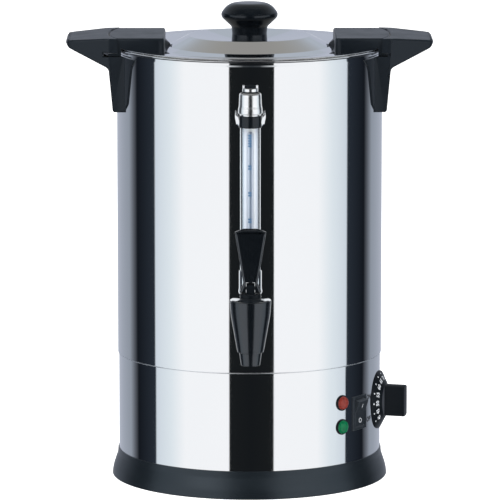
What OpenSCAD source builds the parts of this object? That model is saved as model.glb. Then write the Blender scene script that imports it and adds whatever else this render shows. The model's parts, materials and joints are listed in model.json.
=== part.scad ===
// Ten-litre hot water urn: polished steel tank on a skirted base, twist-lock lid with two lugs,
// two side handles, sight gauge, lever tap, indicator lamps, rocker switch and thermostat dial.
// Millimetres, +Z up, origin on the table under the middle of the tank, tap towards -Y.

/* [Tank] */
// Outer diameter of the tank
body_d = 236; // [220:1:250]
// Height of the rim of the tank above the table
body_h = 386.5; // [370:0.5:400]
// Height of the seam between the base skirt and the tank
seam_h = 111; // [106:0.5:116]
// Thickness of the steel sheet
sheet_t = 0.8; // [0.6:0.1:1]
// Diameter of the rolled bead's section
bead_d = 3.2; // [2.4:0.1:4]

/* [Base] */
// Height of the foot ring's top edge
foot_h = 24.2; // [21:0.1:30]
// How far the foot ring flares out past the tank
foot_flare = 5.3; // [3:0.1:8]
// Diameter of a rubber foot
pad_d = 16; // [12:0.5:17]
// Number of vent slots in the bottom cover
vent_count = 16; // [8:1:20]

/* [Lid] */
// Diameter of the raised crest of the lid
crest_d = 108; // [98:1:112]
// Height of the crest above the rim
crest_h = 9; // [6:0.5:12]
// Depth of the dish inside the crest
dish_depth = 5; // [3:0.5:7]
// Diameter of the foot of the cone round the crest
cone_d = 144; // [136:1:148]
// Diameter of the valley round the raised middle
valley_d = 167; // [158:1:172]
// Depth of the valley under the rim
valley_depth = 1.8; // [1.4:0.1:2.6]

/* [Knob] */
// Diameter of the knob's cap
knob_d = 50; // [44:0.5:56]
// Height of the knob
knob_h = 34.2; // [30:0.1:40]
// Diameter of the knob's neck
knob_neck_d = 31.8; // [26:0.1:38]

/* [Handles] */
// Span over both handles
handle_span = 325; // [316:1:334]
// Width of a handle at its root
handle_w = 91; // [80:1:96]
// Width of a handle at its tip
handle_tip_w = 67; // [56:1:74]
// How far a handle reaches down from the rim
handle_drop = 54.5; // [47:0.5:64]
// Wall of the moulded handle
handle_wall = 3; // [2:0.1:4]

/* [Lid lugs] */
// Width of a lid lug
lug_w = 85.4; // [74:0.1:86]
// Inner end of a lug, from the axis
lug_inner = 75; // [72:0.5:82]
// How far a lug stands out past the tank
lug_out = 6; // [5:0.1:6.5]
// Height of a lug above the rim
lug_h = 10.5; // [8:0.5:13]
// How far a lug's foot reaches out past the lug
lug_foot = 7; // [5:0.5:8]
// Thickness of a lug's foot
lug_foot_t = 2; // [1.6:0.1:2.4]
// Play between a lug and its handle
lug_play = 1; // [0.6:0.1:1.4]

/* [Tap] */
// Height of the tap's inlet above the table
tap_z = 172; // [166:0.5:178]
// Distance from the tank wall to the tap's spout axis
tap_reach = 45; // [44:0.5:50]
// Diameter of the tap body at its top
tap_d = 36.4; // [34:0.2:38]
// Outer diameter of the spout's outlet
spout_d = 16.4; // [15:0.2:18]
// Height of the outlet above the table
spout_z = 127.5; // [122:0.5:132]
// Diameter of the threaded shank
shank_d = 13; // [12:0.5:14]
// Width of the lever at its top
lever_w = 27; // [22:0.5:32]
// Height of the lever above its pin
lever_h = 53.4; // [45:0.2:60]
// Lift of the tap's stem
stem_lift = 3.5; // [2:0.1:3.5]

/* [Gauge] */
// Outer diameter of the gauge glass
gauge_d = 17.4; // [15:0.1:18]
// Distance from the tank wall to the gauge's axis
gauge_reach = 17.5; // [17:0.1:17.6]
// How far the gauge glass's top end lies under the rim
gauge_drop = 43; // [38:0.5:56]
// Outer diameter of the gauge collar
collar_d = 20; // [19.5:0.1:21]
// Width of the scale strip
scale_w = 6.2; // [4:0.1:8]

/* [Controls] */
// Height of the thermostat dial's axis
dial_z = 72.3; // [70:0.1:76]
// Diameter of the dial's skirt
dial_d = 52; // [46:0.5:56]
// Length of the dial's grip bar
grip_l = 28.6; // [24:0.2:32]
// Thickness of the dial's grip bar
grip_t = 12; // [9:0.5:14]
// Height of the grip bar over the dial's cone
grip_h = 18; // [12:0.5:20]
// Bearing of the dial round the base, from the front
dial_bearing = 74; // [72:0.5:80]
// Height of the rocker switch's middle
switch_z = 67.1; // [62:0.1:72]
// Height of the rocker switch's bezel
switch_h = 30.6; // [28:0.2:33]
// Width of the rocker switch's bezel
switch_w = 21; // [18:0.5:21]
// Bearing of the switch round the base
switch_bearing = 55.2; // [54:0.1:57]
// Height of the red lamp
red_z = 79.2; // [76:0.1:86]
// Height of the green lamp
green_z = 57.7; // [50:0.1:60]
// Diameter of a lamp's lens
lens_d = 12; // [9:0.5:12.5]
// Bearing of the lamps round the base
lamp_bearing = 43.5; // [40:0.5:44]
// Height of the mains inlet
inlet_z = 52; // [46:0.5:60]

/* [Hidden] */
$fn = 96;

body_r = body_d / 2;
tank_in = body_r - sheet_t;
bead_r = bead_d / 2;
bead_mid = tank_in + bead_r;       // middle of the rolled bead's section
bead_z = body_h - bead_r;
neck_z = body_h - 5.8;             // where the wall swells out under the bead
neck_step = 0.6;
hem_r = 0.7;
floor_z = seam_h - 3;              // underside of the tank's floor
fit = 0.3;                         // gap between curved faces of different bodies
shaft_play = 0.05;                 // radial play of a shaft in its bore
far = 200;                         // past everything, for cuts

// Base
skirt_r = tank_in - 0.1;
skirt_top = seam_h + 3;
ledge_z = foot_h - 9.7;            // ring that the skirt stands on
ledge_t = 2.5;
ledge_in = body_r - 22;
cover_z = ledge_z - ledge_t - sheet_t;
cover_r = ledge_in + 4;
foot_r = body_r + foot_flare;
pad_at = body_r - 8.5;             // rubber feet, from the axis
pad_boss_z = 5;
stud_at = 88;
stud_r = 2.5;
stud_bearings = [30, 150, 270];
element_r = 42;
element_tube_r = 4;
plate_r = 55;
plate_t = 3;
plate_z = floor_z - plate_t;
element_z = plate_z - element_tube_r;

// Lid
lid_t = sheet_t;
lid_edge_r = bead_mid + 0.2;
lid_edge_z = body_h + fit + lid_t;
crest_r = crest_d / 2;
crest_z = body_h + crest_h;
dish_z = crest_z - dish_depth;
cone_slope = 0.5;
cone_r = cone_d / 2;
cone_z = crest_z - (cone_r - crest_r) * cone_slope;
valley_r = valley_d / 2;
valley_z = body_h - valley_depth;
lid_slope = (lid_edge_z - valley_z) / (lid_edge_r - valley_r);
function lid_z(r) = valley_z + (r - valley_r) * lid_slope;

// Knob
knob_r = knob_d / 2;
neck_r = knob_neck_d / 2;
knob_screw_r = 3;

// Lugs, and the slots of the handles that they lock into
lug_r = body_r + lug_out;
lug_top = body_h + lug_h;
lug_wall = 2.5;
lug_edge = 2;                      // rounding of its top edges
tongue = 4.5;                      // reach of a lug's tongue
lug_in_r = bead_mid + bead_r + 0.5;
foot_out = lug_r + lug_foot;
foot_low = body_h - 4.9;
foot_high = foot_low + lug_foot_t;
slot_low = foot_low - 0.5;
slot_high = foot_high + 0.8;
slot_r = foot_out + 1;
lug_screw_at = [95, 22];
lug_screw_r = 2;
stop_w = 3;                        // rib across the slot's end, where the locked lid stops

// Handles
handle_low = body_h - handle_drop;
handle_in = body_r - 28;           // how far in the outlines reach before the tank is cut away
tip_x = handle_span / 2;
handle_top = lug_top - 0.1;
tip_top = handle_top - 2.6;
tip_low = handle_top - 9.4;
arm_low = handle_top - 26.4;       // where the wing's lower edge meets the leg
arc_in = lug_r + lug_play;
arc_out = arc_in + handle_wall;
leg_x = body_r + 6.3;
leg_low_x = body_r + 2.6;
lip_r = body_r + 1.8;
handle_screw_z = [handle_low + 13, handle_low + 40];
handle_screw_r = 2.5;
insert_depth = 2.4;
rib_y = 14;
rib_t = 2.4;

// Tap
tap_y = -(body_r + tap_reach);
tap_top = tap_z + 12.7;
shank_r = shank_d / 2;
shank_bore = shank_r - 2;
shank_in = 103;                    // inner end of the shank, from the axis
boss_r = shank_r + 4;
boss_y = -(body_r + 26.5);         // where tap body and gauge base meet
shank_end = -boss_y + 7.5;
washer_t = 3;
inner_washer_t = 2.7;
chamber_r = 8.5;
chamber_z = tap_z - 20;
outlet_r = spout_d / 2 - 2.4;
bonnet_r = 9.15;
bonnet_h = 5.3;
pin_z = tap_top + bonnet_h + 5;
pin_r = 1.5;
ear_t = 7.2;
ear_r = 4.5;
stem_r = 3;
stem_top = tap_top + 1.3;
cup_h = 13;
waist_z = pin_z + 4.5;
waist_w = 12.4;
fork_w = 18.8;
fork_r = 4.7;

// Gauge
gauge_top = body_h - gauge_drop;
gauge_y = -(body_r + gauge_reach);
glass_r = gauge_d / 2;
glass_wall = 1.5;
socket_r = glass_r + 1.2;
socket_low = tap_top + 1.3;
socket_top = tap_top + 21.5;
glass_low = socket_low + 10;
collar_r = collar_d / 2;
collar_low = gauge_top - 12.7;
collar_top = gauge_top - 2.3;
cap_h = 19.8;
cap_top = collar_top + cap_h;
vent_r = 6.9;
vent_top = cap_top + 6.6;
vent_gap = 9.6;                    // between the two prongs of the vent
mark_step = 1e6 / (PI * tank_in * tank_in); // rise of the water for one litre
scale_top = collar_low - 3.8;

// Controls
bezel_out = 1.2;                   // thermostat bezel over the skirt
bezel_r = 16.5;
dial_back = skirt_r + bezel_out + fit;
dial_rim = 1.4;
dial_cone = 6.4;
shaft_r = 3;
bush_r = 5;
thermo_gap = 5.1;                  // between the thermostat and the outside of the skirt
thermo_depth = [skirt_r - thermo_gap - 24, skirt_r - thermo_gap];
thermo_size = [34, 28];
lamp_barrel_r = 5.5;
lamp_bezel_r = lens_d / 2 + 1;
lamp_out = 2;
switch_out = 1.8;
pocket = [switch_w - 5, switch_h - 5.6];
pivot_out = skirt_r + switch_out - 2.4;
rocker_r = pocket.y / 2 - fit;
rocker_tilt = 10;
trunnion_r = 1;
switch_body = [switch_w - 3, switch_h - 3.6];
inlet_flange = [50, 24];
inlet_body = [30, 20];
inlet_mouth = [24, 15];
inlet_out = 2;
inlet_screw_x = 20.5;
inlet_pin_at = [[-7, -2], [0, 2], [7, -2]];
reset_at = [-28, -21];
reset_r = 4;
reset_travel = 2;

steel = "silver";
chrome = "gainsboro";
black = "#23282e";
dark = "#3b4046";
rubber = "#1b1b1b";

// ---- Shapes shared by the sub-parts ----

function unit(v) = v / norm(v);
function reversed(v) = [for (i = [len(v) - 1 : -1 : 0]) v[i]];

// Points of the arc of radius r that rounds the corner b between a and c
function corner(a, b, c, r, n = 5) =
    r == 0 ? [b] :
    let (
        u = unit(a - b), v = unit(c - b),
        half = acos(u * v) / 2,
        m = b + unit(u + v) * r / sin(half),
        p = b + u * r / tan(half) - m,
        q = b + v * r / tan(half) - m,
        from = atan2(p.y, p.x),
        sweep = (atan2(q.y, q.x) - from + 540) % 360 - 180
    ) [for (i = [0 : n]) m + r * [cos(from + sweep * i / n), sin(from + sweep * i / n)]];

// Outline with each corner [x, y, radius] rounded; a corner with no radius stays sharp
function rounded(pts, steps = 5) = [
    for (i = [0 : len(pts) - 1])
    let (n = len(pts), p = pts[i], a = pts[(i + n - 1) % n], c = pts[(i + 1) % n])
    each corner([a.x, a.y], [p.x, p.y], [c.x, c.y], len(p) > 2 ? p.z : 0, steps)
];

// Section of a sheet that is t thick and lies to the left of an open path
function sheet(path, t) =
    let (last = len(path) - 1)
    concat(path, reversed([
        for (i = [0 : last])
        let (
            d1 = unit(path[max(i, 1)] - path[max(i, 1) - 1]),
            d2 = unit(path[min(i, last - 1) + 1] - path[min(i, last - 1)]),
            n1 = [-d1.y, d1.x], n2 = [-d2.y, d2.x]
        ) path[i] + (n1 + n2) * t / (1 + n1 * n2)
    ]));

module revolve(points) {
    rotate_extrude($fn = 128) polygon(points);
}

// Ring with a round section
module torus(ring_r, tube_r) {
    rotate_extrude($fn = 128) translate([ring_r, 0]) circle(r = tube_r, $fn = 32);
}

module tube(outer, inner, h) {
    difference() {
        cylinder(r = outer, h = h);
        translate([0, 0, -1]) cylinder(r = inner, h = h + 2);
    }
}

// Children face away from the axis at a bearing from the front: X right, Y up, Z outwards
module facing(bearing, z) {
    rotate([0, 0, bearing]) translate([0, 0, z]) rotate([90, 0, 0]) children();
}

module box(size, z0, z1) {
    translate([-size.x / 2, -size.y / 2, z0]) cube([size.x, size.y, z1 - z0]);
}

module rod(r, z0, z1) {
    translate([0, 0, z0]) cylinder(r = r, h = z1 - z0);
}

module hex_nut(across, bore, z0, z1) {
    difference() {
        translate([0, 0, z0]) cylinder(d = across / cos(30), h = z1 - z0, $fn = 6);
        rod(bore, z0 - 1, z1 + 1);
    }
}

// Children without what lies inside the round skirt or the tank, so that they seat on it
module seated_on(r) {
    difference() {
        children();
        cylinder(r = r, h = body_h, $fn = 256);
    }
}

// ---- Tank and base ----

module tank_shell() {
    color(steel) difference() {
        union() {
            revolve(sheet(rounded([
                [body_r, seam_h + hem_r], [body_r, neck_z, 1.2],
                [body_r + neck_step, neck_z + 1.6, 1.2], [body_r + neck_step, bead_z]
            ]), sheet_t));
            translate([0, 0, bead_z]) torus(bead_mid, bead_r);
            translate([0, 0, seam_h + hem_r]) torus(body_r - hem_r, hem_r);
        }
        cylinder(r = skirt_r, h = skirt_top);
        for (side = [0, 180], z = handle_screw_z)
            facing(90 + side, z) cylinder(r = handle_screw_r, h = far);
        facing(0, tap_z) cylinder(r = shank_r, h = far);
    }
}

module tank_floor() {
    rim = tank_in - sheet_t;
    color(steel) revolve(sheet(rounded([
        [0, floor_z], [rim - 4, floor_z, 4], [rim - 1.2, skirt_top + 1, 2],
        [tank_in, skirt_top + 3, 2], [tank_in, skirt_top + 10]
    ]), sheet_t));
}

module base_skirt() {
    color(steel) difference() {
        translate([0, 0, ledge_z]) tube(skirt_r, skirt_r - sheet_t, skirt_top - ledge_z);
        facing(dial_bearing, dial_z) cylinder(r = bush_r, h = far);
        for (z = [red_z, green_z]) facing(lamp_bearing, z) cylinder(r = lamp_barrel_r, h = far);
        facing(switch_bearing, switch_z) box(switch_body, 0, far);
        facing(180, inlet_z) {
            box(inlet_body, 0, far);
            for (x = [-1, 1]) translate([x * inlet_screw_x, 0, 0]) cylinder(r = 1.6, h = far);
        }
    }
}

module foot_ring() {
    wall = 3;
    color(black) difference() {
        union() {
            revolve(rounded([
                [skirt_r, foot_h], [body_r, foot_h, 0.3],
                [body_r + 0.06 * foot_flare, foot_h * 0.78, 12],
                [body_r + 0.8 * foot_flare, foot_h * 0.3, 30],
                [foot_r, 0, 0.8], [foot_r - wall, 0],
                [skirt_r + 1.2, cover_z - 2, 6], [skirt_r - 1, ledge_z - ledge_t],
                [ledge_in, ledge_z - ledge_t], [ledge_in, ledge_z], [skirt_r, ledge_z]
            ]));
            at_pads() rod(pad_d / 2 + 1, pad_boss_z, ledge_z - ledge_t);
        }
        at_pads() rod(3, 0, pad_boss_z + 4);
        rod(cover_r, cover_z - 1, ledge_z - ledge_t);
    }
}

module at_pads() {
    for (a = [45 : 90 : 315]) rotate([0, 0, a]) translate([pad_at, 0, 0]) children();
}

module rubber_feet() {
    color(rubber) at_pads() {
        rod(pad_d / 2, 0, pad_boss_z);
        rod(3, pad_boss_z, pad_boss_z + 4);
    }
}

module bottom_cover() {
    vent = [22, 3];
    color(steel) difference() {
        rod(cover_r, cover_z, cover_z + sheet_t);
        for (i = [0 : vent_count - 1]) rotate([0, 0, (i + 0.5) * 360 / vent_count])
            translate([62, 0, 0]) slot(vent);
        at_studs() cylinder(r = stud_r, h = far);
        translate([reset_at.x, reset_at.y, 0]) cylinder(r = reset_r + 0.5, h = far);
    }
}

// Slot with round ends, along X from the middle
module slot(size) {
    box([size.x - size.y, size.y], 0, far);
    for (x = [-1, 1]) translate([x * (size.x - size.y) / 2, 0, 0]) cylinder(d = size.y, h = far);
}

module at_studs() {
    for (a = stud_bearings) rotate([0, 0, a]) translate([0, -stud_at, 0]) children();
}

// Studs welded under the tank's floor, which hold the base together
module tie_studs() {
    color(steel) at_studs() rod(stud_r, cover_z - 6, floor_z);
}

module cover_nuts() {
    color(steel) at_studs() hex_nut(8, stud_r, cover_z - 4, cover_z);
}

// ---- Heating ----

module heat_plate() {
    color("lightgray") rod(plate_r, plate_z, floor_z);
}

module heating_element() {
    gap = 24;
    color("dimgray") {
        translate([0, 0, element_z]) rotate([0, 0, 90 + gap]) rotate_extrude(angle = 360 - 2 * gap)
            translate([element_r, 0]) circle(r = element_tube_r, $fn = 32);
        for (a = [90 - gap, 90 + gap]) rotate([0, 0, a]) translate([element_r, 0, 0]) {
            rod(element_tube_r + 0.4, element_z - 14, element_z + 3);
            rod(1.5, element_z - 22, element_z - 14);
        }
    }
}

module element_clamp() {
    bar_z = element_z - element_tube_r - 2;
    color(steel) difference() {
        union() {
            box([2 * element_r + 18, 14], bar_z, bar_z + 2);
            rod(stud_r, bar_z - 8, plate_z);
        }
    }
}

module clamp_nut() {
    bar_z = element_z - element_tube_r - 2;
    color(steel) hex_nut(8, stud_r, bar_z - 4, bar_z);
}

module thermal_cutout() {
    color("ivory") translate([0, -24, 0]) {
        rod(11, plate_z - 9, plate_z);
        for (x = [-1, 1]) translate([x * 6, 0, 0]) box([0.8, 6.3], plate_z - 18, plate_z - 9);
    }
}

module reset_housing() {
    floor_top = cover_z + sheet_t;
    color("ivory") translate([reset_at.x, reset_at.y, 0]) difference() {
        rod(10, floor_top, floor_top + 22);
        rod(reset_r + shaft_play, floor_top - 1, floor_top + 6 + reset_travel + fit);
    }
}

module reset_button() {
    floor_top = cover_z + sheet_t;
    color("crimson") translate([reset_at.x, reset_at.y, 0])
        rod(reset_r, cover_z - reset_travel, floor_top + 6);
}

module terminal_block() {
    floor_top = cover_z + sheet_t;
    size = [44, 18, 15];
    color("white") translate([-38, 34, 0]) difference() {
        box(size, floor_top, floor_top + size.z);
        for (x = [-16 : 8 : 16]) translate([x, 0, 0]) {
            rod(2, floor_top + 9, floor_top + size.z + 1);
            translate([0, 0, floor_top + 5]) rotate([90, 0, 0]) cylinder(r = 2, h = 20, center = true);
        }
    }
}

module earth_stud() {
    floor_top = cover_z + sheet_t;
    color("goldenrod") translate([20, -52, 0]) {
        rod(2, floor_top, floor_top + 14);
        hex_nut(7, 2, floor_top, floor_top + 3);
    }
}

// ---- Thermostat ----

module thermostat_body() {
    color(dark) facing(dial_bearing, dial_z) difference() {
        union() {
            box(thermo_size, thermo_depth[0], thermo_depth[1]);
            rod(bush_r, thermo_depth[1], skirt_r + bezel_out);
        }
        rod(shaft_r + shaft_play, thermo_depth[1] - 11, skirt_r + 10);
    }
}

module thermostat_bulb() {
    bulb_r = 4;
    color("peru") rotate([0, 0, dial_bearing]) {
        translate([0, -thermo_depth[0] - 3, 0]) rod(1, dial_z + thermo_size.y / 2, floor_z - bulb_r);
        translate([-10, -thermo_depth[0] - 3, floor_z - bulb_r]) rotate([0, 90, 0])
            cylinder(r = bulb_r, h = 46);
    }
}

module thermostat_bezel() {
    color(black) seated_on(skirt_r) facing(dial_bearing, dial_z) difference() {
        rod(bezel_r, skirt_r - 4, skirt_r + bezel_out);
        rod(bush_r, 0, far);
    }
}

module thermostat_shaft() {
    color(steel) facing(dial_bearing, dial_z) rod(shaft_r, thermo_depth[1] - 10, dial_back + 6);
}

module thermostat_dial() {
    dial_r = dial_d / 2;
    grip_r = grip_l / 2;
    cone_z = dial_back + dial_rim;
    color(black) facing(dial_bearing, dial_z) difference() {
        union() {
            revolve(rounded([
                [0, dial_back], [dial_r, dial_back, 0.4], [dial_r, cone_z, 0.8],
                [grip_r, cone_z + dial_cone], [0, cone_z + dial_cone]
            ]));
            intersection() {
                revolve(rounded([
                    [0, cone_z], [grip_r, cone_z], [grip_r - 0.5, cone_z + dial_cone + grip_h, 1],
                    [0, cone_z + dial_cone + grip_h]
                ]));
                box([grip_t, 2 * grip_r], cone_z, cone_z + dial_cone + grip_h);
            }
        }
        difference() {
            rod(dial_r - 3, dial_back - 1, dial_back + 1.2);
            rod(7, 0, far);
        }
        rod(shaft_r, 0, dial_back + 6);
    }
}

// ---- Lamps and switch ----

module lamp_bezels() {
    color(black) for (z = [red_z, green_z]) {
        seated_on(skirt_r) facing(lamp_bearing, z) difference() {
            rod(lamp_bezel_r, skirt_r - 3, skirt_r + lamp_out);
            rod(lens_d / 2, skirt_r + lamp_out - 1, far);
        }
        facing(lamp_bearing, z) rod(lamp_barrel_r, skirt_r - 16, skirt_r + 0.5);
    }
}

module lamp_clips() {
    color(steel) for (z = [red_z, green_z]) intersection() {
        facing(lamp_bearing, z) difference() {
            rod(lamp_barrel_r + 2.5, skirt_r - sheet_t - 2, skirt_r);
            rod(lamp_barrel_r, 0, far);
        }
        cylinder(r = skirt_r - sheet_t, h = body_h, $fn = 256);
    }
}

module lens(z) {
    base = skirt_r + lamp_out - 1;
    facing(lamp_bearing, z) revolve(rounded([
        [0, base], [lens_d / 2, base], [lens_d / 2, base + 2.4, 1.6],
        [lens_d / 4, base + 4, 3], [0, base + 4.2]
    ]));
}

module red_lens() {
    color("red") lens(red_z);
}

module green_lens() {
    color("green") lens(green_z);
}

module switch_housing() {
    color(black) facing(switch_bearing, switch_z) difference() {
        union() {
            intersection() {
                box([switch_w, switch_h], skirt_r - 4, skirt_r + switch_out);
                rotate([-90, 0, 0]) difference() {
                    cylinder(r = far, h = far, center = true);
                    cylinder(r = skirt_r, h = 2 * far, center = true);
                }
            }
            box(switch_body, skirt_r - 24, skirt_r + switch_out - 0.5);
        }
        box(pocket, pivot_out - 6, far);
        translate([0, 0, pivot_out]) rotate([0, 90, 0])
            cylinder(r = trunnion_r + shaft_play, h = pocket.x + 2, center = true);
    }
}

module switch_rocker() {
    half = pocket.y / 2;
    color(black) facing(switch_bearing, switch_z) translate([0, 0, pivot_out]) rotate([rocker_tilt, 0, 0]) {
        intersection() {
            rotate([90, 0, 90]) linear_extrude(height = pocket.x - 2 * fit, center = true) polygon([
                [-half, -3], [half, -3], [half, 2.4 + half * tan(rocker_tilt)], [0, 2.4],
                [-half, 2.4 + half * tan(rocker_tilt)]
            ]);
            rotate([0, 90, 0]) cylinder(r = rocker_r, h = pocket.x, center = true);
        }
        rotate([0, 90, 0]) cylinder(r = trunnion_r, h = pocket.x + 1.6, center = true);
    }
}

// ---- Mains inlet ----

module inlet_socket() {
    color(black) facing(180, inlet_z) difference() {
        union() {
            intersection() {
                box(inlet_flange, skirt_r - 4, skirt_r + inlet_out);
                rotate([-90, 0, 0]) difference() {
                    cylinder(r = far, h = far, center = true);
                    cylinder(r = skirt_r, h = 2 * far, center = true);
                }
            }
            box(inlet_body, skirt_r - 24, skirt_r + inlet_out - 0.5);
        }
        box(inlet_mouth, skirt_r - 16, far);
        for (x = [-1, 1]) translate([x * inlet_screw_x, 0, 0]) cylinder(r = 1.6, h = far);
        for (p = inlet_pin_at) translate(p) box([5, 2], 0, far);
    }
}

module inlet_pins() {
    color("silver") facing(180, inlet_z) for (p = inlet_pin_at) translate(p)
        box([5, 2], skirt_r - 30, skirt_r - 3);
}

module inlet_screws() {
    color(steel) facing(180, inlet_z) for (x = [-1, 1]) translate([x * inlet_screw_x, 0, 0]) {
        rod(1.6, skirt_r - 6, skirt_r + inlet_out);
        rod(3, skirt_r + inlet_out, skirt_r + inlet_out + 1.6);
    }
}

// ---- Lid ----

// Top surface of the lid, from the middle out
lid_top_path = rounded([
    [0, dish_z], [neck_r + 3, dish_z, 14], [crest_r, crest_z, 3], [cone_r, cone_z, 2],
    [valley_r, valley_z, 6], [lid_edge_r, lid_edge_z]
]);

module lid_pan() {
    color(steel) difference() {
        revolve(concat(lid_top_path, reversed([for (p = lid_top_path) [p.x, p.y - lid_t]])));
        rod(knob_screw_r, 0, 2 * body_h);
        for (side = [0, 180], y = [-1, 1]) rotate([0, 0, side])
            translate([lug_screw_at.x, y * lug_screw_at.y, 0]) rod(lug_screw_r, 0, 2 * body_h);
    }
}

module lid_knob() {
    cap_low = dish_z + 0.37 * knob_h;
    top = dish_z + knob_h;
    color(black) difference() {
        revolve(rounded([
            [0, dish_z], [neck_r, dish_z, 0.5], [neck_r - 0.5, (dish_z + cap_low) / 2, 10],
            [neck_r + 0.2, cap_low, 2.5], [knob_r + 1.7, cap_low + 10.1, 4.8],
            [knob_r * 0.74, top - 0.8, 14], [0, top]
        ], 9));
        rod(knob_screw_r, dish_z - 1, dish_z + 12);
    }
}

module knob_screw() {
    color(steel) {
        rod(knob_screw_r, dish_z - lid_t, dish_z + 12);
        rod(6, dish_z - lid_t - 1.2, dish_z - lid_t);
        rod(4.8, dish_z - lid_t - 4.2, dish_z - lid_t - 1.2);
    }
}

// ---- Lid lugs ----

module lug() {
    half = lug_w / 2;
    difference() {
        union() {
            intersection() {
                translate([0, 0, foot_low]) linear_extrude(height = lug_top - foot_low) polygon(rounded([
                    [lug_inner, -half, 6], [far, -half], [far, half], [lug_inner, half, 6]
                ]));
                revolve(rounded([
                    [0, foot_low], [lug_r, foot_low], [lug_r, lug_top, 1], [0, lug_top]
                ]));
                rotate([90, 0, 90]) linear_extrude(height = far) polygon(rounded([
                    [-half, foot_low], [half, foot_low], [half, lug_top, lug_edge], [-half, lug_top, lug_edge]
                ]));
                translate([0, half + 1, 0]) rotate([90, 0, 0]) linear_extrude(height = 2 * half + 2)
                    polygon(rounded([
                        [lug_inner, foot_low], [far, foot_low], [far, lug_top], [lug_inner, lug_top, lug_edge]
                    ]));
            }
            intersection() {
                rod(foot_out, foot_low, foot_high);
                translate([lug_in_r - 12, -half + 1.5, foot_low])
                    cube([far, 2 * half - 1.5, lug_foot_t]);
            }
            // tongue that lies against the cone round the crest
            intersection() {
                translate([0, 0, valley_z]) linear_extrude(height = 20) polygon([
                    [lug_inner + 1, -9], [lug_inner - tongue, 0], [lug_inner + 1, 9]
                ]);
                translate([0, 9, 0]) rotate([90, 0, 0]) linear_extrude(height = 18) polygon([
                    [lug_inner + 1, valley_z - 1], [lug_inner - tongue, cone_z + 0.5],
                    [lug_inner - tongue, cone_z + 1.5], [lug_inner + 1, cone_z + 6]
                ]);
            }
        }
        // what the lug stands on, and the way round the bead
        revolve(concat(lid_top_path, [
            [lid_edge_r + 0.5, lid_edge_z], [lid_edge_r + 0.5, lid_edge_z + 0.6],
            [lug_in_r, lid_edge_z + 0.6], [lug_in_r, 0], [0, 0]
        ]));
        // hollow underneath, round the two screw bosses
        difference() {
            intersection() {
                translate([lug_inner + lug_wall, -half + lug_wall, valley_z - 5])
                    cube([far, 2 * (half - lug_wall), lug_top - lug_wall - valley_z + 5]);
                rod(lug_in_r - lug_wall, valley_z - 5, lug_top);
            }
            for (y = [-1, 1]) translate([lug_screw_at.x, y * lug_screw_at.y, 0])
                rod(lug_screw_r + 2.5, 0, 2 * body_h);
        }
        for (y = [-1, 1]) translate([lug_screw_at.x, y * lug_screw_at.y, 0])
            rod(lug_screw_r, 0, lug_top - 4);
    }
}

module lug_left() {
    color(black) rotate([0, 0, 180]) lug();
}

module lug_right() {
    color(black) lug();
}

module lug_screws() {
    head = 1.8;
    under = lid_z(lug_screw_at.x - 4) - lid_t;
    color(steel) for (side = [0, 180], y = [-1, 1]) rotate([0, 0, side])
        translate([lug_screw_at.x, y * lug_screw_at.y, 0]) {
            rod(lug_screw_r, under, lug_top - 4);
            rod(3.6, under - head, under);
        }
}

// ---- Handles ----

// Side elevation of a handle, X outwards and Y up
module handle_side(y0, y1) {
    translate([0, y1, 0]) rotate([90, 0, 0]) linear_extrude(height = y1 - y0) polygon(rounded([
        [handle_in, handle_top], [arc_in + 3, handle_top], [tip_x - 0.6, tip_top, 2.2],
        [tip_x, tip_top - 3.6, 2.4], [tip_x - 3, tip_low, 3], [leg_x, arm_low, 5],
        [leg_low_x, handle_low, 2.4], [handle_in, handle_low]
    ]));
}

// Plan of a handle, drawn in by inset
module handle_plan(inset) {
    root = handle_w / 2 - inset;
    tip = handle_tip_w / 2 - inset;
    end = tip_x - inset;
    translate([0, 0, handle_low - 1]) linear_extrude(height = handle_top - handle_low + 2) polygon(rounded([
        [handle_in - 30, -root], [body_r + 6, -root, 4], [end - 1.5, -tip, 9 - inset / 2],
        [end, -tip / 2], [end, tip / 2], [end - 1.5, tip, 9 - inset / 2], [body_r + 6, root, 4],
        [handle_in - 30, root]
    ]));
}

// Thin saddle that hugs the tank round the leg, wider at its top
module handle_lip() {
    top = neck_z - 0.4;
    half = handle_w / 2;
    intersection() {
        tube(lip_r, body_r - 2, body_h);
        rotate([90, 0, 90]) linear_extrude(height = far) polygon(rounded([
            [half + 18.5, top], [half + 12.5, top - 7.5, 14], [half + 6, handle_low + 8, 4], [half - 2, handle_low, 4],
            [2 - half, handle_low, 4], [-half - 6, handle_low + 8, 4], [-half - 12.5, top - 7.5, 14],
            [-half - 18.5, top]
        ]));
    }
}

// Room for the tank, the bead, the lug and the lug's foot
module handle_room() {
    revolve([
        [0, 0], [body_r, 0], [body_r, neck_z - 0.2], [lug_in_r, neck_z - 0.2], [lug_in_r, slot_low],
        [slot_r, slot_low], [slot_r, slot_high], [arc_in, slot_high], [arc_in, handle_top + 1],
        [0, handle_top + 1]
    ]);
}

// Hollow of the wing, open underneath, on either side of two ribs
module handle_hollow() {
    half = handle_w / 2;
    difference() {
        intersection() {
            handle_plan(handle_wall);
            translate([0, half + 1, 0]) rotate([90, 0, 0]) linear_extrude(height = 2 * half + 2) polygon([
                [arc_in, handle_low - 2], [arc_in, handle_top - handle_wall],
                [tip_x, tip_top - handle_wall], [tip_x, handle_low - 2]
            ]);
        }
        rod(arc_out, 0, 2 * body_h);
        // shelf under the way of the lug's foot
        rod(slot_r + 1.4, slot_low - 2, slot_low);
        for (y = [-1, 1]) translate([slot_r + 0.5, y * rib_y - rib_t / 2, 0])
            cube([far, rib_t, body_h + 20]);
    }
}

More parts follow.
